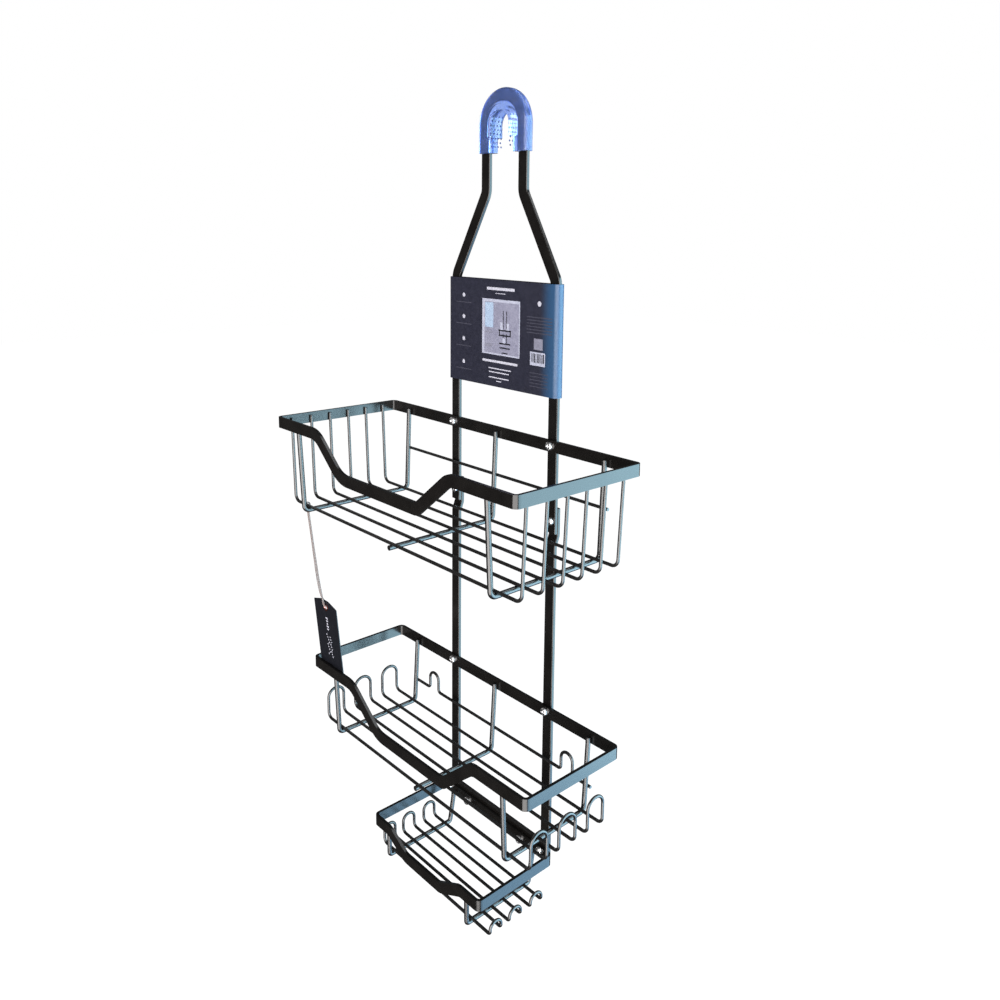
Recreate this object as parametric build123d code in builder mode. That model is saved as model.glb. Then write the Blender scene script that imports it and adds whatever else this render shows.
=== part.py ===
"""Three-tier hanging shower caddy: a flat-bar hanger, two baskets and a soap dish.

Frame: millimetres, +Z up, +Y towards the wall, +X to the right seen from the front.
The origin is on the axis of the shower arm that the hook goes over, in the hanger's mid-plane.
"""

import os
from math import atan, cos, degrees, sin, tan

from build123d import *

# Driving dimensions
BAR_WIDTH = 10.0
BAR_THICKNESS = 3.0
BAR_EDGE = 0.8
UPRIGHT_SPACING = 118.0
HOOK_RADIUS = 21.6
HOOK_LEG_END = -51.0
SHOULDER_Z = -117.0
SHOULDER_BEND = 14.0
HANGER_END = -312.0
LAP_LENGTH = 20.0
LAP_JOG = (-314.0, -322.0)
UPRIGHT_END = -592.0

RIM_HEIGHT = 9.0
RIM_THICKNESS = 2.5
RIM_CORNER = 4.5

THIN_WIRE = 1.25
THICK_WIRE = 2.0
WELD = 0.1

SLEEVE_BORE = 10.8
SLEEVE_DEPTH = 14.6
SLEEVE_SKIN = 1.2
SLEEVE_END = -20.5
COLLAR_TOP = -9.0
COLLAR_WIDTH = 16.0
COLLAR_DEPTH = 9.0
SLEEVE_FIT = 0.1

SCREW_RADIUS = 2.0
HOLE_RADIUS = 2.05
HEAD_RADIUS = 3.3
HEAD_HEIGHT = 2.3
DISH_SCREW_SPACING = 69.0
DISH_SCREW_STAGGER = 1.5
CROSS_BAR_RISE = 2.0

CARD_TOP = -119.0
CARD_HEIGHT = 85.7
CARD_WIDTH = 130.4
CARD_DEPTH = 9.0
CARD_CORNER = 4.4
CARD_WALL = 0.6

STRING_RADIUS = 0.7
TAG_WIDTH = 36.0
TAG_LENGTH = 62.5
TAG_THICKNESS = 0.6
TAG_CLIP = (12.5, 3.8)
TAG_REST_GAP = 0.4
EYELET_BORE = 2.2
EYELET_BARREL = 2.55
EYELET_FLANGE = 3.2
FLANGE_THICKNESS = 0.25

half_bar = BAR_THICKNESS / 2
upright_x = UPRIGHT_SPACING / 2
lap_z = HANGER_END + LAP_LENGTH / 2

os.makedirs("parts", exist_ok=True)


def save(part, name):
    part.label = name
    export_step(part, f"parts/{name}.step")


def front_plane(y):
    """A sketch plane at depth y, drawn in X and Z as seen from the front."""
    return Plane(origin=(0, y, 0), x_dir=(1, 0, 0), z_dir=(0, -1, 0))


class Tier:
    """A basket's rim: outer width and depth, the face behind it, its top, and its floor wires."""

    def __init__(self, width, depth, back, top, floor, drop, dip_x, dip_bends, centre=0.0):
        self.width, self.depth, self.back = width, depth, back
        self.top, self.floor, self.drop = top, floor, drop
        self.dip_x, self.dip_bends, self.centre = dip_x, dip_bends, centre
        self.front = back - depth
        self.front_inner = self.front + RIM_THICKNESS
        self.back_inner = back - RIM_THICKNESS
        self.side_inner = width / 2 - RIM_THICKNESS
        self.rail_z = top - RIM_HEIGHT / 2

    def front_rail_z(self, x):
        """Height of the front rail's centre line at a cross wire."""
        start, low, leave, level = self.dip_x
        return self.rail_z - (self.drop if low - 12 <= x <= leave else 0)

    def cross_floor(self):
        """Height of the thick wires' centre line under the thin floor wires."""
        return self.floor - THIN_WIRE - THICK_WIRE + WELD


upper = Tier(298.5, 118.8, -half_bar, -237.5, -311.3, 29.0, (-86.5, -52, 46.5, 82.5), (22, 28, 7, 15), -0.75)
middle = Tier(276.8, 95.5, -half_bar, -456.0, -516.0, 28.0, (-79, -41, 45, 79), (20, 24, 8, 12), -2.0)
dish_back = -half_bar - BAR_THICKNESS
dish = Tier(140.5, 78.5, dish_back, -579.7, -608.8, 12.0, (-46, -23, 23, 48), (12, 12, 9, 9), 1.75)


def drill(spots, y, depth):
    """Screw holes at each (x, z), cut towards the wall from depth y."""
    with BuildSketch(front_plane(y)) as holes:
        with Locations(*spots):
            Circle(HOLE_RADIUS)
    extrude(holes.sketch, amount=-depth, mode=Mode.SUBTRACT)


def pair(x, z):
    return [(-x, z), (x, z)]


upper_fixings = pair(upright_x, upper.rail_z)
middle_fixings = pair(upright_x, middle.rail_z)
lap_fixings = pair(upright_x, lap_z)
dish_outer = pair(upright_x, dish.rail_z + DISH_SCREW_STAGGER)
dish_inner = pair(DISH_SCREW_SPACING / 2, dish.rail_z - DISH_SCREW_STAGGER)


# Flat-bar frame

with BuildPart() as hanger:
    with BuildSketch(Plane.XZ):
        with BuildLine():
            FilletPolyline(
                (-upright_x, HANGER_END),
                (-upright_x, SHOULDER_Z),
                (-HOOK_RADIUS, HOOK_LEG_END),
                (-HOOK_RADIUS, 0),
                radius=SHOULDER_BEND,
            )
            ThreePointArc((-HOOK_RADIUS, 0), (0, HOOK_RADIUS), (HOOK_RADIUS, 0))
            FilletPolyline(
                (HOOK_RADIUS, 0),
                (HOOK_RADIUS, HOOK_LEG_END),
                (upright_x, SHOULDER_Z),
                (upright_x, HANGER_END),
                radius=SHOULDER_BEND,
            )
        trace(line_width=BAR_WIDTH)
    extrude(amount=half_bar, both=True)
    fillet(hanger.faces().filter_by(Axis.Y).edges(), BAR_EDGE)
    drill(upper_fixings + lap_fixings, -5, 10)
save(hanger.part, "hanger")

# Each lower upright laps behind the hanger's end, then jogs forward into the hanger's plane
for side, name in ((-1, "left_upright"), (1, "right_upright")):
    with BuildPart() as upright:
        with BuildSketch(Plane(origin=(side * upright_x, 0, 0), x_dir=(0, 1, 0), z_dir=(1, 0, 0))):
            with BuildLine():
                FilletPolyline(
                    (BAR_THICKNESS, HANGER_END + LAP_LENGTH),
                    (BAR_THICKNESS, LAP_JOG[0]),
                    (0, LAP_JOG[1]),
                    (0, UPRIGHT_END),
                    radius=5,
                )
            trace(line_width=BAR_THICKNESS)
        extrude(amount=BAR_WIDTH / 2, both=True)
        fillet(upright.faces().filter_by(Axis.Y).edges().filter_by(Axis.Z), BAR_EDGE)
        drill([spot for spot in lap_fixings + middle_fixings + dish_outer if spot[0] * side > 0], -5, 12)
    save(upright.part, name)

with BuildPart() as cross_bar:
    with BuildSketch(front_plane(dish_back)):
        with Locations((0, dish.rail_z + CROSS_BAR_RISE)):
            Rectangle(UPRIGHT_SPACING + BAR_WIDTH + 4, BAR_WIDTH)
    extrude(amount=-BAR_THICKNESS)
    fillet(cross_bar.faces().filter_by(Axis.Y).edges(), BAR_EDGE)
    drill(dish_outer + dish_inner, dish_back - 1, 5)
save(cross_bar.part, "cross_bar")


# Soft sleeve over the hook: a deep pad inside the arch, a thin skin outside, a collar at each end

skin_radius = HOOK_RADIUS + BAR_WIDTH / 2 + SLEEVE_SKIN
pad, skin = SLEEVE_DEPTH / 2, COLLAR_DEPTH / 2
with BuildPart() as hook_sleeve:
    with BuildSketch(Plane.XY) as sleeve_section:
        with BuildLine():
            Polyline(
                (SLEEVE_BORE, -pad),
                (SLEEVE_BORE + 4.5, -pad),
                (SLEEVE_BORE + 8, -skin),
                (skin_radius, -skin),
                (skin_radius, skin),
                (SLEEVE_BORE + 8, skin),
                (SLEEVE_BORE + 4.5, pad),
                (SLEEVE_BORE, pad),
                close=True,
            )
        make_face()
        fillet(sleeve_section.vertices().group_by(Axis.X)[0], 1.6)
        fillet(sleeve_section.vertices().group_by(Axis.X)[-1], 3.2)
    revolve(axis=Axis((0, 0, 0), (0, -1, 0)), revolution_arc=180)
    extrude(sleeve_section.sketch, amount=COLLAR_TOP)
    extrude(mirror(sleeve_section.sketch, about=Plane.YZ, mode=Mode.PRIVATE), amount=COLLAR_TOP)
    for side in (-1, 1):
        with BuildSketch(Plane.XY.offset(SLEEVE_END)):
            with Locations((side * (skin_radius - COLLAR_WIDTH / 2), 0)):
                RectangleRounded(COLLAR_WIDTH, COLLAR_DEPTH, 3.2)
        extrude(amount=COLLAR_TOP - SLEEVE_END)
    with BuildSketch(Plane.XZ):
        with BuildLine():
            Line((-HOOK_RADIUS, SLEEVE_END - 1), (-HOOK_RADIUS, 0))
            ThreePointArc((-HOOK_RADIUS, 0), (0, HOOK_RADIUS), (HOOK_RADIUS, 0))
            Line((HOOK_RADIUS, 0), (HOOK_RADIUS, SLEEVE_END - 1))
        trace(line_width=BAR_WIDTH + 2 * SLEEVE_FIT)
    extrude(amount=half_bar + SLEEVE_FIT, both=True, mode=Mode.SUBTRACT)
save(hook_sleeve.part, "hook_sleeve")


# Rims: a flat strip on edge, its front rail dipping towards the floor


def rim(tier, screws):
    """The closed strip ring of one tier, with the screw holes in its back rail."""
    start, low, leave, level = tier.dip_x
    end = tier.width / 2 - RIM_CORNER
    low_z = tier.rail_z - tier.drop
    with BuildPart() as ring:
        with BuildSketch(Plane.XY.offset(tier.top - RIM_HEIGHT)):
            with Locations((tier.centre, tier.back - tier.depth / 2)):
                RectangleRounded(tier.width, tier.depth, RIM_CORNER)
                RectangleRounded(
                    tier.width - 2 * RIM_THICKNESS,
                    tier.depth - 2 * RIM_THICKNESS,
                    RIM_CORNER - RIM_THICKNESS,
                    mode=Mode.SUBTRACT,
                )
        extrude(amount=RIM_HEIGHT)
        with BuildSketch(front_plane(tier.front - 1)):
            with Locations((tier.centre, tier.rail_z)):
                Rectangle(2 * end, RIM_HEIGHT + 2)
        extrude(amount=-RIM_THICKNESS - 2, mode=Mode.SUBTRACT)
        with BuildSketch(front_plane(tier.front)):
            with BuildLine():
                FilletPolyline(
                    (tier.centre - end, tier.rail_z),
                    (start, tier.rail_z),
                    (low, low_z),
                    (leave, low_z),
                    (level, tier.rail_z),
                    (tier.centre + end, tier.rail_z),
                    radius=tier.dip_bends,
                )
            trace(line_width=RIM_HEIGHT)
        extrude(amount=-RIM_THICKNESS)
        drill(screws, tier.back_inner - 1, 5)
    return ring.part


save(rim(upper, upper_fixings), "upper_rim")
save(rim(middle, middle_fixings), "middle_rim")
save(rim(dish, dish_outer + dish_inner), "dish_rim")


# Wires: round rod bent in arcs, swept along its centre line


def bent_wire(points, bends, radius):
    with BuildPart() as wire:
        with BuildLine() as path:
            FilletPolyline(*points, radius=bends)
        with BuildSketch(Plane(origin=path.line @ 0, z_dir=path.line % 0)):
            Circle(radius)
        sweep()
    return wire.part


def long_wire(tier, y, taper, bend):
    """A thin U: down from inside the left rail, along the floor and up to the right rail."""
    x = tier.side_inner - THIN_WIRE + WELD
    rail_foot = tier.top - RIM_HEIGHT
    half = [(x, tier.top - 2.5), (x, rail_foot), (x - taper, tier.floor)]
    points = [(tier.centre - px, y, z) for px, z in half]
    points += [(tier.centre + px, y, z) for px, z in half[::-1]]
    return bent_wire(points, (20, bend, bend, 20), THIN_WIRE)


def cross_wire(tier, x, tapers, bend, top_front, top_back):
    """A thick U under the floor, from inside the front rail to inside the back rail."""
    front = tier.front_inner + THICK_WIRE - WELD
    back = tier.back_inner - THICK_WIRE + WELD
    front_foot = tier.front_rail_z(x) - RIM_HEIGHT / 2
    back_foot = tier.rail_z - RIM_HEIGHT / 2
    z = tier.cross_floor()
    points = [
        (x, front, top_front),
        (x, front, front_foot),
        (x, front + tapers[0], z),
        (x, back - tapers[1], z),
        (x, back, back_foot),
        (x, back, top_back),
    ]
    return bent_wire(points, (20, bend, bend, 20), THICK_WIRE)


def short_cross_wire(tier, x, front_end, taper, bend, top_back):
    """A thick J: from just past the frontmost floor wire, back and up to the back rail only."""
    back = tier.back_inner - THICK_WIRE + WELD
    z = tier.cross_floor()
    points = [
        (x, front_end, z),
        (x, back - taper, z),
        (x, back, tier.rail_z - RIM_HEIGHT / 2),
        (x, back, top_back),
    ]
    return bent_wire(points, (bend, 20), THICK_WIRE)


def wall_side(tier, taper, z):
    """Centre-line Y of a thin wire welded behind the cross wires at height z."""
    top = tier.rail_z - RIM_HEIGHT / 2
    lean = taper * (top - z) / (top - tier.cross_floor())
    return tier.back_inner - THICK_WIRE + WELD - lean + THICK_WIRE + THIN_WIRE - WELD


def floor_loop(tier, ys, left, right):
    """A closed racetrack of thin wire whose ends turn up into rounded arches."""
    near, far = ys
    x0, rise0, bend0 = left
    x1, rise1, bend1 = right
    z = tier.floor
    arch = 0.49 * (far - near)
    points = [
        (0, near, z),
        (x1, near, z),
        (x1, near, z + rise1),
        (x1, far, z + rise1),
        (x1, far, z),
        (x0, far, z),
        (x0, far, z + rise0),
        (x0, near, z + rise0),
        (x0, near, z),
    ]
    bends = (0, bend1, arch, arch, bend1, bend0, arch, arch, bend0)
    with BuildPart() as wire:
        with BuildLine() as path:
            FilletPolyline(*points, radius=bends, close=True)
        with BuildSketch(Plane(origin=(0, near, z), x_dir=(0, 1, 0), z_dir=(1, 0, 0))):
            Circle(THIN_WIRE)
        sweep(path=path.wires()[0])
    return wire.part


# Upper basket

UPPER_CROSS_XS = (-121.0, -1.5, 117.0)
UPPER_TAPERS = (3.5, 2.5)
UPPER_FIRST_Y = -108.0
UPPER_BACK_Z = -277.5
for i in range(6):
    save(long_wire(upper, UPPER_FIRST_Y + 18.2 * i, 3.0, 6.0), f"upper_long_wire_{i + 1}")
for i in (0, 2):
    x = UPPER_CROSS_XS[i]
    wire = cross_wire(upper, x, UPPER_TAPERS, 4.5, upper.front_rail_z(x) + 1, upper.rail_z + 1)
    save(wire, f"upper_cross_wire_{i + 1}")
wire = short_cross_wire(upper, UPPER_CROSS_XS[1], UPPER_FIRST_Y - 2, UPPER_TAPERS[1], 4.5, upper.rail_z + 1)
save(wire, "upper_cross_wire_2")

with BuildPart() as upper_back_wire:
    start, end = UPPER_CROSS_XS[0] - 3, UPPER_CROSS_XS[2] + 3
    y = wall_side(upper, UPPER_TAPERS[1], UPPER_BACK_Z)
    with BuildSketch(Plane(origin=(start, y, UPPER_BACK_Z), z_dir=(1, 0, 0))):
        Circle(THIN_WIRE)
    extrude(amount=end - start)
save(upper_back_wire.part, "upper_back_wire")


# Middle basket

MIDDLE_CROSS_XS = (-110.0, 0.0, 108.5)
MIDDLE_TAPERS = (2.4, 3.0)
MIDDLE_ENDS = ((-133.8, 25.5, 5.0), (131.6, 25.5, 5.0))
MIDDLE_LOOPS = ((-86.7, -71.2), (-59.2, -42.7), (-29.6, -13.4))
for i, ys in enumerate(MIDDLE_LOOPS):
    save(floor_loop(middle, ys, *MIDDLE_ENDS), f"middle_loop_wire_{i + 1}")
for i in (0, 2):
    x = MIDDLE_CROSS_XS[i]
    wire = cross_wire(middle, x, MIDDLE_TAPERS, 4.0, middle.front_rail_z(x) - 2, middle.rail_z + 1)
    save(wire, f"middle_cross_wire_{i + 1}")
front_end = MIDDLE_LOOPS[0][0] - 2
wire = short_cross_wire(middle, MIDDLE_CROSS_XS[1], front_end, MIDDLE_TAPERS[1], 4.0, middle.rail_z + 1)
save(wire, "middle_cross_wire_2")

HUMP_Z = -500.4
HUMP_X = 85.5
HUMP_WIDTH = 12.5
HUMP_RISE = 16.5
hump_y = wall_side(middle, MIDDLE_TAPERS[1], HUMP_Z)
hump_points = [(MIDDLE_CROSS_XS[0] - 3, hump_y, HUMP_Z)]
for x in (-HUMP_X, HUMP_X):
    for foot, rise in ((-1, 0), (-1, HUMP_RISE), (1, HUMP_RISE), (1, 0)):
        hump_points.append((x + foot * HUMP_WIDTH / 2, hump_y, HUMP_Z + rise))
hump_points.append((MIDDLE_CROSS_XS[2] + 3, hump_y, HUMP_Z))
hump_bends = (3.0, 0.49 * HUMP_WIDTH, 0.49 * HUMP_WIDTH, 3.0) * 2
save(bent_wire(hump_points, hump_bends, THIN_WIRE), "razor_hook_wire")


# Soap dish

DISH_LOOPS = ((-74.5, -63.6), (-54.9, -43.2), (-32.6, -20.9))
for i, ys in enumerate(DISH_LOOPS):
    save(floor_loop(dish, ys, (-65.0, 15.0, 4.0), (76.0, 8.6, 2.6)), f"dish_loop_wire_{i + 1}")
for i, x in enumerate((-51.8, 52.5)):
    wire = cross_wire(dish, x, (0.3, 4.0), 2.4, dish.rail_z - 1.5, dish.rail_z - 1.5)
    save(wire, f"dish_cross_wire_{i + 1}")


# Screws: cross-recess pan heads, shanks flush with the back of the last bar


def pan_screws(spots, face_y, end_y):
    """One separate screw at each (x, z), its head bearing on the face at face_y."""
    with BuildPart() as screws:
        with BuildSketch(front_plane(face_y)) as heads:
            with Locations(*spots):
                Circle(HEAD_RADIUS)
        extrude(amount=HEAD_HEIGHT)
        fillet(screws.edges().group_by(Axis.Y)[0], 1.3)
        with BuildSketch(front_plane(face_y - HEAD_HEIGHT)):
            with Locations(*spots):
                Rectangle(3.4, 0.9)
                Rectangle(0.9, 3.4)
        extrude(amount=-1.1, mode=Mode.SUBTRACT)
        with BuildSketch(front_plane(face_y)):
            with Locations(*spots):
                Circle(SCREW_RADIUS)
        extrude(amount=face_y - end_y)
    return screws.part


upright_back = half_bar + BAR_THICKNESS
save(pan_screws(upper_fixings, upper.back_inner, half_bar), "upper_basket_screws")
save(pan_screws(lap_fixings, -half_bar, upright_back), "upright_screws")
save(pan_screws(middle_fixings, middle.back_inner, half_bar), "middle_basket_screws")
save(pan_screws(dish_outer, dish.back_inner, half_bar), "dish_outer_screws")
save(pan_screws(dish_inner, dish.back_inner, -half_bar), "dish_inner_screws")


# Printed card sleeve round the hanger's two legs

with BuildPart() as label_card:
    with BuildSketch(Plane.XY.offset(CARD_TOP - CARD_HEIGHT)):
        RectangleRounded(CARD_WIDTH, CARD_DEPTH, CARD_CORNER)
        RectangleRounded(
            CARD_WIDTH - 2 * CARD_WALL,
            CARD_DEPTH - 2 * CARD_WALL,
            CARD_CORNER - CARD_WALL,
            mode=Mode.SUBTRACT,
        )
    extrude(amount=CARD_HEIGHT)
save(label_card.part, "label_card")


# Hang tag: it swings about the upper basket's front floor wire and leans on the middle rim

pivot = Vector(-124.6, UPPER_FIRST_Y, upper.floor)
rest_y = middle.front_inner + TAG_REST_GAP + TAG_THICKNESS / 2
lean = atan((rest_y - pivot.Y) / (pivot.Z - middle.top))
lean_plane = Plane(origin=pivot, x_dir=(1, 0, 0), z_dir=(0, -cos(lean), -sin(lean)))
EYELET = (11.2, -90.5)
EYELET_TO_EDGE = 6.6
EYELET_OFF_CENTRE = -0.6

tag_plane = Plane(
    origin=lean_plane.from_local_coords(Vector(*EYELET, 0)),
    x_dir=lean_plane.x_dir,
    z_dir=lean_plane.z_dir,
)
with BuildPart() as hang_tag:
    with BuildSketch(tag_plane.offset(-TAG_THICKNESS / 2)):
        right = TAG_WIDTH / 2 + EYELET_OFF_CENTRE
        left, top = right - TAG_WIDTH, EYELET_TO_EDGE
        with BuildLine():
            Polyline(
                (left, top - TAG_LENGTH),
                (right, top - TAG_LENGTH),
                (right, top - TAG_CLIP[1]),
                (right - TAG_CLIP[0], top),
                (left + TAG_CLIP[0], top),
                (left, top - TAG_CLIP[1]),
                close=True,
            )
        make_face()
        Circle(EYELET_BARREL + 0.05, mode=Mode.SUBTRACT)
    extrude(amount=TAG_THICKNESS)
save(hang_tag.part, "hang_tag")

with BuildPart() as tag_eyelet:
    with BuildSketch(tag_plane.offset(-TAG_THICKNESS / 2 - FLANGE_THICKNESS)):
        Circle(EYELET_BARREL)
        Circle(EYELET_BORE, mode=Mode.SUBTRACT)
    extrude(amount=TAG_THICKNESS + 2 * FLANGE_THICKNESS)
    for near in (-TAG_THICKNESS / 2 - FLANGE_THICKNESS, TAG_THICKNESS / 2):
        with BuildSketch(tag_plane.offset(near)):
            Circle(EYELET_FLANGE)
            Circle(EYELET_BORE, mode=Mode.SUBTRACT)
        extrude(amount=FLANGE_THICKNESS)
save(tag_eyelet.part, "tag_eyelet")

hitch_radius = THIN_WIRE + 0.35 + STRING_RADIUS
KNOT_RADIUS = 1.4
KNOT_DROP = hitch_radius + 1.0
with BuildPart() as string_hitch:
    with BuildSketch(Plane(origin=pivot + Vector(0, 0, hitch_radius), z_dir=(0, 1, 0))):
        Circle(STRING_RADIUS)
    revolve(axis=Axis((pivot.X, pivot.Y, pivot.Z), (1, 0, 0)))
    with Locations(lean_plane.from_local_coords(Vector(0, -KNOT_DROP, 0))):
        Sphere(KNOT_RADIUS)
save(string_hitch.part, "string_hitch")

# The string in the tag's leaning plane: right, up and out from the pivot
string_route = [
    (0.8, -4.1, 0.0),
    (2.8, -26.0, 0.5),
    (5.6, -52.0, 1.2),
    (8.6, -73.0, 1.7),
    (10.4, -83.6, 1.6),
    (11.2, -89.3, 1.5),
    (11.1, -89.3, -1.5),
    (6.5, -87.2, -1.7),
    (1.0, -82.6, -1.6),
    (0.2, -68.0, -0.7),
    (1.2, -44.0, 0.2),
    (0.2, -22.0, 0.0),
    (-0.8, -4.1, 0.0),
]
string_points = [lean_plane.from_local_coords(Vector(*point)) for point in string_route]
string_bends = []
for before, here, after in zip(string_points, string_points[1:], string_points[2:]):
    run_in, run_out = here - before, after - here
    turn = run_in.get_angle(run_out) * 3.141592653589793 / 180
    string_bends.append(0.45 * min(run_in.length, run_out.length) / tan(turn / 2))

with BuildPart() as tag_string:
    with BuildLine() as string_path:
        FilletPolyline(*string_points, radius=string_bends)
    with BuildSketch(Plane(origin=string_path.line @ 0, z_dir=string_path.line % 0)):
        Circle(STRING_RADIUS)
    sweep()
save(tag_string.part, "tag_string")

string_length = sum(edge.length for edge in string_path.edges())
section = 3.141592653589793 * STRING_RADIUS**2
print("string bends", [round(bend, 1) for bend in string_bends])
print("string length", round(string_length, 2), "lean", round(degrees(lean), 3))
print("string volume", round(tag_string.part.volume, 2), "section x length", round(section * string_length, 2))
for point in string_points:
    print("string point", [round(value / 1000, 5) for value in point])
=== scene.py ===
"""Looks, lights and camera of the hanging shower caddy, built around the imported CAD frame."""

import math

import bmesh
import bpy
from mathutils import Matrix, Vector


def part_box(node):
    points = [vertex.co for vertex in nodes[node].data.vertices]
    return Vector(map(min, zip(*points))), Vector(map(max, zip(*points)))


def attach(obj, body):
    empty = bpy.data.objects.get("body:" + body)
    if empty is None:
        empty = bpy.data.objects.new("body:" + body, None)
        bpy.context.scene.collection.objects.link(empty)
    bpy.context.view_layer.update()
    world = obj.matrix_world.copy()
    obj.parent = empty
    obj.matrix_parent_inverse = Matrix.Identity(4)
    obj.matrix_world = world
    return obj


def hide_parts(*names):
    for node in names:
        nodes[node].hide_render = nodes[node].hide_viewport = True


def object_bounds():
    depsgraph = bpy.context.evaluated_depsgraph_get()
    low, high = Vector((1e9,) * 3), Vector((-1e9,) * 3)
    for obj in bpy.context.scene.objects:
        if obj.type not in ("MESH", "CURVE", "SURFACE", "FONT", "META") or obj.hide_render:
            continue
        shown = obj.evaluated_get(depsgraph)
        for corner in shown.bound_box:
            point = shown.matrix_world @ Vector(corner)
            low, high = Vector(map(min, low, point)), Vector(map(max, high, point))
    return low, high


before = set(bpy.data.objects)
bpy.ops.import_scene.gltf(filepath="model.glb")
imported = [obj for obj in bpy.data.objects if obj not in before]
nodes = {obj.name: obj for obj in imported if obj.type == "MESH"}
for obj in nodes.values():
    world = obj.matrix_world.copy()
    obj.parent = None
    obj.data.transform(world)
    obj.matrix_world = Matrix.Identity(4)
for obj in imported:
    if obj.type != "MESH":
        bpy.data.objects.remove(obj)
cad_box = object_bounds()
scene = bpy.context.scene


# Camera: below the hook's height, in front and to the right, looking slightly down

CAMERA_AT = Vector((0.5262, -0.4664, -0.0803))
AZIMUTH, ELEVATION, ROLL = math.radians(46.14), math.radians(-9.12), math.radians(-0.95)
look = Vector(
    (
        -math.sin(AZIMUTH) * math.cos(ELEVATION),
        math.cos(AZIMUTH) * math.cos(ELEVATION),
        math.sin(ELEVATION),
    )
)
level = Vector((math.cos(AZIMUTH), math.sin(AZIMUTH), 0))
upward = level.cross(look)
right = level * math.cos(ROLL) - upward * math.sin(ROLL)
up = level * math.sin(ROLL) + upward * math.cos(ROLL)
camera_data = bpy.data.cameras.new("camera")
camera_data.sensor_width = 36
camera_data.lens = 31.84
camera_data.shift_x = -0.0381
camera_data.shift_y = -0.1269
camera_data.clip_start = 0.01
camera = bpy.data.objects.new("camera", camera_data)
camera.matrix_world = Matrix(
    (
        (right.x, up.x, -look.x, CAMERA_AT.x),
        (right.y, up.y, -look.y, CAMERA_AT.y),
        (right.z, up.z, -look.z, CAMERA_AT.z),
        (0, 0, 0, 1),
    )
)
scene.collection.objects.link(camera)
scene.camera = camera


# Material helpers

# Painted highlight on the card's right-hand fold: where the mid-blue band starts, where it is full, and
# its blue
FOLD_HIGHLIGHT_START, FOLD_HIGHLIGHT_FULL = 0.046, 0.060
FOLD_HIGHLIGHT_BLUE = (0.014, 0.050, 0.115)


def new_material(name, **values):
    """A Principled material with its constant values set on the shader's own sockets."""
    material = bpy.data.materials.new(name)
    material.use_nodes = True
    shader = material.node_tree.nodes["Principled BSDF"]
    for socket, value in values.items():
        shader.inputs[socket.replace("_", " ")].default_value = value
    return material, material.node_tree, shader


def add_node(tree, kind, **settings):
    node = tree.nodes.new(kind)
    for key, value in settings.items():
        if key in node.inputs:
            node.inputs[key].default_value = value
        else:
            setattr(node, key, value)
    return node


def noise(tree, scale, detail=3.0, roughness=0.55):
    place = add_node(tree, "ShaderNodeTexCoord")
    texture = add_node(tree, "ShaderNodeTexNoise", Scale=scale, Detail=detail, Roughness=roughness)
    tree.links.new(place.outputs["Object"], texture.inputs["Vector"])
    return texture.outputs["Fac"]


def ramp(tree, source, stops):
    node = add_node(tree, "ShaderNodeValToRGB")
    band = node.color_ramp
    while len(band.elements) < len(stops):
        band.elements.new(0.5)
    for element, (position, colour) in zip(band.elements, stops):
        element.position = position
        element.color = (*colour, 1)
    tree.links.new(source, node.inputs["Fac"])
    return node.outputs["Color"]


def spread(tree, source, low, high):
    node = add_node(tree, "ShaderNodeMapRange")
    node.inputs["To Min"].default_value = low
    node.inputs["To Max"].default_value = high
    tree.links.new(source, node.inputs["Value"])
    return node.outputs["Result"]


def bump(tree, shader, source, strength, distance):
    node = add_node(tree, "ShaderNodeBump", Strength=strength, Distance=distance)
    tree.links.new(source, node.inputs["Height"])
    tree.links.new(node.outputs["Normal"], shader.inputs["Normal"])


def powder_coat(name, dark, light, rough, ior=1.5):
    """Black powder coat: fine orange-peel bump, slightly uneven gloss and shade."""
    material, tree, shader = new_material(name, Specular_IOR_Level=0.5, IOR=ior)
    colour = ramp(tree, noise(tree, 60, 4), ((0.3, dark), (0.75, light)))
    tree.links.new(colour, shader.inputs["Base Color"])
    gloss = spread(tree, noise(tree, 220, 3), *rough)
    tree.links.new(gloss, shader.inputs["Roughness"])
    bump(tree, shader, noise(tree, 1500, 2), 0.12, 0.0002)
    return material


def polished_steel():
    material, tree, shader = new_material("polished_steel", Metallic=1.0)
    colour = ramp(tree, noise(tree, 900, 3), ((0.3, (0.82, 0.82, 0.83)), (0.8, (0.94, 0.94, 0.95))))
    tree.links.new(colour, shader.inputs["Base Color"])
    tree.links.new(spread(tree, noise(tree, 2500, 2), 0.28, 0.42), shader.inputs["Roughness"])
    return material


def clear_silicone(name, low, high):
    """Soft tinted silicone, mostly clear, with a slightly uneven tint and surface."""
    settings = {"Transmission_Weight": 0.90, "IOR": 1.36, "Specular_IOR_Level": 0.5}
    material, tree, shader = new_material(name, **settings)
    colour = ramp(tree, noise(tree, 120, 2), ((0.3, low), (0.8, high)))
    tree.links.new(colour, shader.inputs["Base Color"])
    tree.links.new(spread(tree, noise(tree, 400, 2), 0.08, 0.2), shader.inputs["Roughness"])
    bump(tree, shader, noise(tree, 250, 2), 0.15, 0.0004)
    return material


def printed(name, dark, light, rough=(0.35, 0.5)):
    """Printed card: a faint paper grain in shade, gloss and bump."""
    material, tree, shader = new_material(name, Specular_IOR_Level=0.5)
    colour = ramp(tree, noise(tree, 300, 5, 0.7), ((0.25, dark), (0.8, light)))
    tree.links.new(colour, shader.inputs["Base Color"])
    tree.links.new(spread(tree, noise(tree, 160, 3), *rough), shader.inputs["Roughness"])
    bump(tree, shader, noise(tree, 900, 4, 0.7), 0.08, 0.0002)
    return material


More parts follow.
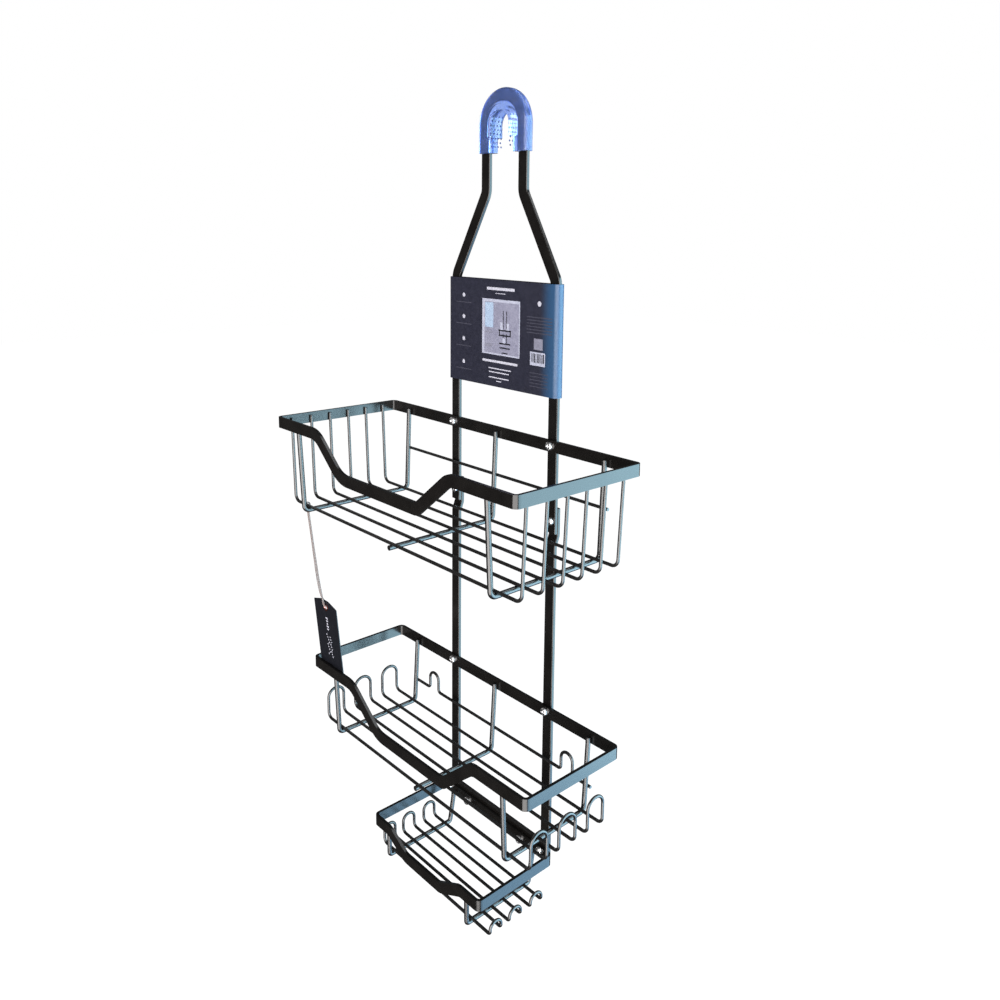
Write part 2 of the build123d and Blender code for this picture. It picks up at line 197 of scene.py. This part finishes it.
def painted_fold_highlight(material):
    """Painted highlight: the card's colour turns from navy to a mid-blue band towards its right-hand
    fold, standing in for the blue light from the right catching the fold.
    """
    tree = material.node_tree
    shader = tree.nodes["Principled BSDF"]
    plain = shader.inputs["Base Color"].links[0].from_socket
    place = add_node(tree, "ShaderNodeTexCoord")
    axes = add_node(tree, "ShaderNodeSeparateXYZ")
    tree.links.new(place.outputs["Object"], axes.inputs["Vector"])
    across = add_node(tree, "ShaderNodeMapRange", interpolation_type="SMOOTHSTEP")
    across.inputs["From Min"].default_value = FOLD_HIGHLIGHT_START
    across.inputs["From Max"].default_value = FOLD_HIGHLIGHT_FULL
    tree.links.new(axes.outputs["X"], across.inputs["Value"])
    blend = add_node(tree, "ShaderNodeMix", data_type="RGBA")
    tree.links.new(across.outputs["Result"], blend.inputs["Factor"])
    tree.links.new(plain, blend.inputs["A"])
    blend.inputs["B"].default_value = (*FOLD_HIGHLIGHT_BLUE, 1)
    tree.links.new(blend.outputs["Result"], shader.inputs["Base Color"])


def copper():
    material, tree, shader = new_material("copper", Metallic=1.0)
    colour = ramp(tree, noise(tree, 1200, 3), ((0.3, (0.50, 0.13, 0.10)), (0.8, (0.70, 0.26, 0.20))))
    tree.links.new(colour, shader.inputs["Base Color"])
    tree.links.new(spread(tree, noise(tree, 2500, 2), 0.2, 0.35), shader.inputs["Roughness"])
    return material


def twisted_cord():
    material, tree, shader = new_material("twisted_cord", Roughness=0.85, Sheen_Weight=0.3)
    place = add_node(tree, "ShaderNodeTexCoord")
    wave = add_node(tree, "ShaderNodeTexWave", bands_direction="DIAGONAL", Scale=900.0, Distortion=1.5)
    tree.links.new(place.outputs["Object"], wave.inputs["Vector"])
    colour = ramp(tree, wave.outputs["Fac"], ((0.1, (0.11, 0.085, 0.080)), (0.8, (0.22, 0.18, 0.17))))
    tree.links.new(colour, shader.inputs["Base Color"])
    bump(tree, shader, wave.outputs["Fac"], 0.5, 0.0002)
    return material


# The materials themselves, and which CAD piece wears which

strip_black = powder_coat(
    "strip_black", (0.0035, 0.0030, 0.0028), (0.0075, 0.0066, 0.0060), (0.17, 0.25)
)
wire_black = powder_coat(
    "wire_black", (0.0060, 0.0056, 0.0056), (0.0120, 0.0114, 0.0114), (0.20, 0.30), 1.7
)
navy = printed("navy_card", (0.0070, 0.0075, 0.0155), (0.0180, 0.0185, 0.0330))
navy_tag = printed("navy_tag", (0.0035, 0.0040, 0.0065), (0.0075, 0.0080, 0.0120), (0.3, 0.42))
pale_print = printed("pale_print", (0.26, 0.27, 0.34), (0.36, 0.37, 0.46))
dim_print = printed("dim_print", (0.030, 0.030, 0.046), (0.048, 0.048, 0.068))
grey_print = printed("grey_print", (0.12, 0.12, 0.16), (0.20, 0.20, 0.26))
white_print = printed("white_print", (0.32, 0.32, 0.38), (0.44, 0.44, 0.50))
picture_print = printed("picture_print", (0.14, 0.14, 0.20), (0.23, 0.23, 0.30))
picture_light = printed("picture_light", (0.22, 0.29, 0.41), (0.31, 0.39, 0.50))
dark_print = printed("dark_print", (0.006, 0.006, 0.010), (0.012, 0.012, 0.018))
steel = polished_steel()
silicone = clear_silicone("clear_silicone", (0.21, 0.33, 0.75), (0.37, 0.48, 0.88))
nub_silicone = clear_silicone("nub_silicone", (0.05, 0.09, 0.28), (0.10, 0.15, 0.40))
cord_pale = twisted_cord()
eyelet_copper = copper()
# The navy card gets a painted blue highlight along its right-hand fold
painted_fold_highlight(navy)

STRIPS = ("hanger", "left_upright", "right_upright", "cross_bar", "upper_rim", "middle_rim", "dish_rim")
for name, node in nodes.items():
    if name in STRIPS:
        material = strip_black
    elif "wire" in name:
        material = wire_black
    elif "screws" in name:
        material = steel
    elif name == "hook_sleeve":
        material = silicone
    elif name == "label_card":
        material = navy
    elif name == "hang_tag":
        material = navy_tag
    elif name == "tag_eyelet":
        material = eyelet_copper
    else:
        material = cord_pale
    node.data.materials.clear()
    node.data.materials.append(material)


# Tag string: one limp cord, round the hitch's knot, behind the tag, through the eyelet and back up

route = (
    (-0.1238, -0.1076, -0.31538),
    (-0.1218, -0.10596, -0.33722),
    (-0.119, -0.10412, -0.36317),
    (-0.116, -0.10256, -0.38412),
    (-0.1142, -0.10143, -0.39466),
    (-0.1134, -0.10077, -0.40032),
    (-0.1135, -0.09779, -0.40003),
    (-0.1181, -0.09779, -0.39792),
    (-0.1236, -0.09834, -0.39335),
    (-0.1244, -0.10066, -0.37891),
    (-0.1234, -0.1039, -0.35511),
    (-0.1244, -0.10585, -0.33319),
    (-0.1254, -0.1076, -0.31538),
)
CORD_DIAMETER = 0.0014
line = bpy.data.curves.new("tag_cord", "CURVE")
line.dimensions = "3D"
line.bevel_depth = CORD_DIAMETER / 2
line.bevel_resolution = 6
line.resolution_u = 24
line.use_fill_caps = True
spline = line.splines.new("NURBS")
spline.points.add(len(route) - 1)
for control, place in zip(spline.points, route):
    control.co = (*place, 1)
spline.order_u = 3
spline.use_endpoint_u = True
tag_cord = bpy.data.objects.new("tag_cord", line)
tag_cord.data.materials.append(cord_pale)
scene.collection.objects.link(tag_cord)
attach(tag_cord, "tag")
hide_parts("tag_string")


# Mesh pieces


def prism(build, front_points, back_points):
    """A closed plate between two outlines with the same number of points."""
    front = [build.verts.new(point) for point in front_points]
    back = [build.verts.new(point) for point in back_points]
    build.faces.new(front)
    build.faces.new(back[::-1])
    for i in range(len(front)):
        j = (i + 1) % len(front)
        build.faces.new((front[j], front[i], back[i], back[j]))


def add_piece(name, build, material, body):
    """Turn the built mesh into an object that rides on a body."""
    mesh = bpy.data.meshes.new(name)
    build.to_mesh(mesh)
    build.free()
    piece = bpy.data.objects.new(name, mesh)
    piece.data.materials.append(material)
    scene.collection.objects.link(piece)
    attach(piece, body)
    return piece


# Generic print on the label card: plain shapes only, each layer lifted a little further

card_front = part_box("label_card")[0].y
PRINT_LIFT = 0.00006
PRINT_DEPTH = 0.8
MARK_HEIGHTS = (-133.1, -150.8, -169.2, -188.5)
MARKS_X = -44.3


def decal(name, shapes, material, layer=1):
    """Thin raised print on the card's front: each shape is a list of (x, z) corners in metres."""
    build = bmesh.new()
    lift = layer * PRINT_LIFT
    y = card_front - lift
    for shape in shapes:
        prism(build, [(x, y, z) for x, z in shape], [(x, y + lift * PRINT_DEPTH, z) for x, z in shape])
    bmesh.ops.recalc_face_normals(build, faces=build.faces)
    add_piece(name, build, material, "label")


def bar(x, z, width, height):
    """A rectangle centred on (x, z), in millimetres."""
    w, h = width / 2, height / 2
    corners = ((x - w, z - h), (x + w, z - h), (x + w, z + h), (x - w, z + h))
    return [(px / 1000, pz / 1000) for px, pz in corners]


def disc(x, z, radius, count=20):
    """A round outline centred on (x, z), in millimetres."""
    turns = [2 * math.pi * i / count for i in range(count)]
    return [((x + radius * math.cos(t)) / 1000, (z + radius * math.sin(t)) / 1000) for t in turns]


decal("picture_panel", [bar(1.8, -156.5, 45, 44.5)], pale_print)
decal("picture_view", [bar(2.8, -157, 41, 41)], picture_print, layer=2)
decal("picture_window", [bar(-12, -147, 10, 20)], picture_light, layer=3)
caddy = [bar(5, -150, 0.8, 14), bar(9, -150, 0.8, 14)]
caddy += [bar(7, -158.5, 15, 1.2), bar(7, -162.5, 14, 1.2)]
caddy += [bar(0.5, -160.5, 1.2, 5), bar(13.5, -160.5, 1.2, 5)]
caddy += [bar(7, -169, 13, 1.2), bar(7, -172.5, 12, 1.2)]
caddy += [bar(5, -165, 0.8, 8), bar(9, -165, 0.8, 8)]
caddy += [bar(7, -176.5, 7, 1.0)]
decal("picture_caddy", caddy, dark_print, layer=3)
bottles = [bar(3, -155, 3, 6), bar(10.5, -155.2, 2.6, 5.5), bar(6, -166.5, 3, 4)]
decal("picture_bottles", bottles, pale_print, layer=4)
decal("picture_shelf", [bar(-12.5, -161, 9, 1.2), bar(-13, -171.5, 9, 3)], grey_print, layer=3)
marks = [disc(MARKS_X, z, 1.7) for z in MARK_HEIGHTS] + [disc(45.9, -134.5, 2.0)]
decal("round_marks", marks, white_print)
decal("heading_bar", [bar(1.3, -126, 33, 2.2), bar(1.3, -129.6, 12, 0.5)], white_print)
lines = [bar(1, -184.2, 42, 1.9), bar(1, -190, 27, 0.9)]
lines += [bar(0, -193, 24, 0.9), bar(0, -197.4, 24, 0.9), bar(0, -200, 6, 0.8)]
decal("caption_lines", lines, white_print)
faint = [bar(46, -145 - 2.4 * i, 28, 0.7) for i in range(6)]
faint += [bar(46, -188 - 2.6 * i, 20, 0.6) for i in range(5)]
faint += [bar(MARKS_X, z - 6.0, 20, 0.7) for z in MARK_HEIGHTS]
decal("faint_lines", faint, dim_print)
decal("grey_square", [bar(45.2, -165.4, 9.6, 8.6)], grey_print)
decal("stripe_box", [bar(44.6, -176.8, 16.6, 10.4)], pale_print)
stripes = [bar(38 + 1.65 * i, -176.2, 0.5 + 0.35 * (i % 3), 7) for i in range(9)]
decal("stripe_bars", stripes, dark_print, layer=2)


# Small grip nubs inside the sleeve, on the two flat pads and up into the arch

BORE = 0.0108
NUB_RADIUS, NUB_HEIGHT, NUB_SINK = 0.00075, 0.0006, 0.00005
NUB_RINGS, NUB_SIDES = 5, 12
NUB_ROWS, NUB_COLUMNS, NUB_PITCH = 8, 4, 0.0032
TOP_ROW, FIRST_COLUMN, ROW_STAGGER = 0.0065, -0.0048, 0.0004


def nub(build, centre, outward):
    """A low dome of rings round its axis, sunk slightly into the pad."""
    spin = outward.to_track_quat("Z", "Y").to_matrix()
    rings = []
    for level in range(NUB_RINGS):
        turn = math.pi / 2 * level / NUB_RINGS
        reach, rise = NUB_RADIUS * math.cos(turn), NUB_HEIGHT * math.sin(turn) - NUB_SINK
        ring = []
        for k in range(NUB_SIDES):
            around = math.tau * k / NUB_SIDES
            offset = Vector((reach * math.cos(around), reach * math.sin(around), rise))
            ring.append(build.verts.new(centre + spin @ offset))
        rings.append(ring)
    tip = build.verts.new(centre + outward * (NUB_HEIGHT - NUB_SINK))
    for lower, upper in zip(rings, rings[1:]):
        for k in range(NUB_SIDES):
            after = (k + 1) % NUB_SIDES
            build.faces.new((lower[k], lower[after], upper[after], upper[k]))
    for k in range(NUB_SIDES):
        build.faces.new((rings[-1][k], rings[-1][(k + 1) % NUB_SIDES], tip))
    build.faces.new(rings[0][::-1])


build = bmesh.new()
for side in (-1, 1):
    for row in range(NUB_ROWS):
        z = TOP_ROW - NUB_PITCH * row
        angle = math.asin(z / BORE) if z > 0 else 0.0
        stagger = ROW_STAGGER if row % 2 else -ROW_STAGGER
        for column in range(NUB_COLUMNS):
            y = FIRST_COLUMN + NUB_PITCH * column + stagger
            place = Vector((side * BORE * math.cos(angle), y, z))
            nub(build, place, Vector((-side * math.cos(angle), 0, -math.sin(angle))))
sleeve_nubs = add_piece("sleeve_nubs", build, nub_silicone, "frame")
for face in sleeve_nubs.data.polygons:
    face.use_smooth = True


# Generic print down the hanging tag: a column of short plain blocks in the tag's own plane

TAG_LIFT, TAG_PRINT_DEPTH = 0.00006, 0.00005
tag_mesh = nodes["hang_tag"].data
front_face = max((f for f in tag_mesh.polygons if f.normal.y < -0.5), key=lambda f: f.area)
outward = front_face.normal.copy()
down = Vector((1, 0, 0)).cross(outward).normalized()
if down.z > 0:
    down = -down
tag_low, tag_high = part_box("hang_tag")
in_plane = front_face.center
top_run = (tag_high.z - in_plane.z) / -down.z
tag_origin = in_plane - down * top_run
tag_origin.x = (tag_low.x + tag_high.x) / 2
blocks = [(0.4, 17.0 + 2.6 * i, 3.4 - 0.8 * (i % 3), 1.5) for i in range(5)]
blocks += [(-2.6 + 0.9 * (i % 4), 33.0 + 2.3 * i, 1.3, 1.2) for i in range(9)]
blocks += [(2.4 + 0.7 * (i % 3), 34.2 + 2.3 * i, 1.3, 1.2) for i in range(9)]
build = bmesh.new()
for x, run, width, height in blocks:
    ring = []
    for sx, sz in ((-1, 1), (1, 1), (1, -1), (-1, -1)):
        spot = tag_origin + down * ((run + sz * height / 2) / 1000) + outward * TAG_LIFT
        spot.x += (x + sx * width / 2) / 1000
        ring.append(spot)
    prism(build, ring, [spot - outward * TAG_PRINT_DEPTH for spot in ring])
bmesh.ops.recalc_face_normals(build, faces=build.faces)
add_piece("tag_print", build, white_print, "tag")


# Stage: a pale floor far below the hanging object

FLOOR_HALF, FLOOR_DROP = 6.0, 0.25
floor_mesh = bpy.data.meshes.new("floor")
floor_z = cad_box[0][2] - FLOOR_DROP
corners = [(FLOOR_HALF * x, FLOOR_HALF * y) for x, y in ((-1, -1), (1, -1), (1, 1), (-1, 1))]
floor_mesh.from_pydata([(x, y, floor_z) for x, y in corners], [], [(0, 1, 2, 3)])
floor = bpy.data.objects.new("floor", floor_mesh)
pale, tree, shader = new_material("pale_floor", Roughness=0.9)
shader.inputs["Base Color"].default_value = (0.05, 0.05, 0.05, 1)
shader.inputs["Emission Color"].default_value = (1, 1, 1, 1)
shader.inputs["Emission Strength"].default_value = 1.0
floor.data.materials.append(pale)
scene.collection.objects.link(floor)
floor.visible_glossy = False


# Light: a wide cool softbox on the right with a bluer one below it, a large soft fill in front, and
# small ones above and on the left


def softbox(name, place, target, size, radiance, colour):
    """A rectangular area light aimed at a target, unseen by the camera itself."""
    data = bpy.data.lights.new(name, "AREA")
    data.shape = "RECTANGLE"
    data.size, data.size_y = size
    data.energy = radiance * math.pi * size[0] * size[1]
    data.color = colour
    lamp = bpy.data.objects.new(name, data)
    lamp.location = place
    lamp.rotation_euler = (Vector(target) - Vector(place)).to_track_quat("-Z", "Y").to_euler()
    lamp.visible_camera = False
    scene.collection.objects.link(lamp)


softbox("right_box", (1.6, 0.9, -0.45), (0, -0.05, -0.45), (2.8, 2.4), 8.5, (0.52, 0.84, 1.0))
softbox("right_low_box", (1.6, 0.9, -2.1), (0, -0.05, -2.1), (2.8, 0.9), 5.0, (0.36, 0.68, 1.0))
softbox("front_fill", (1.2, -1.9, -0.7), (0, 0, -0.5), (3.4, 3.4), 7.0, (1.0, 0.97, 0.95))
softbox("top_box", (0.7, 0.8, 1.5), (0, 0, -0.3), (1.6, 1.2), 3.0, (0.95, 0.98, 1.0))
softbox("left_fill", (-2.0, 0.0, 0.3), (0, 0, -0.35), (0.8, 1.6), 1.0, (1.0, 0.97, 0.94))


# World: dim grey for light and reflections, plain white where it is seen directly or through silicone

world = bpy.data.worlds.new("studio")
world.use_nodes = True
tree = world.node_tree
dim = tree.nodes["Background"]
dim.inputs["Color"].default_value = (0.06, 0.06, 0.06, 1)
dim.inputs["Strength"].default_value = 1.0
white = add_node(tree, "ShaderNodeBackground", Color=(1, 1, 1, 1))
path = add_node(tree, "ShaderNodeLightPath")
mix = add_node(tree, "ShaderNodeMixShader")
clear = add_node(tree, "ShaderNodeMath", operation="MAXIMUM")
tree.links.new(path.outputs["Is Camera Ray"], clear.inputs[0])
tree.links.new(path.outputs["Is Transmission Ray"], clear.inputs[1])
tree.links.new(clear.outputs["Value"], mix.inputs["Fac"])
tree.links.new(dim.outputs["Background"], mix.inputs[1])
tree.links.new(white.outputs["Background"], mix.inputs[2])
tree.links.new(mix.outputs["Shader"], tree.nodes["World Output"].inputs["Surface"])
scene.world = world
scene.view_settings.view_transform = "Standard"
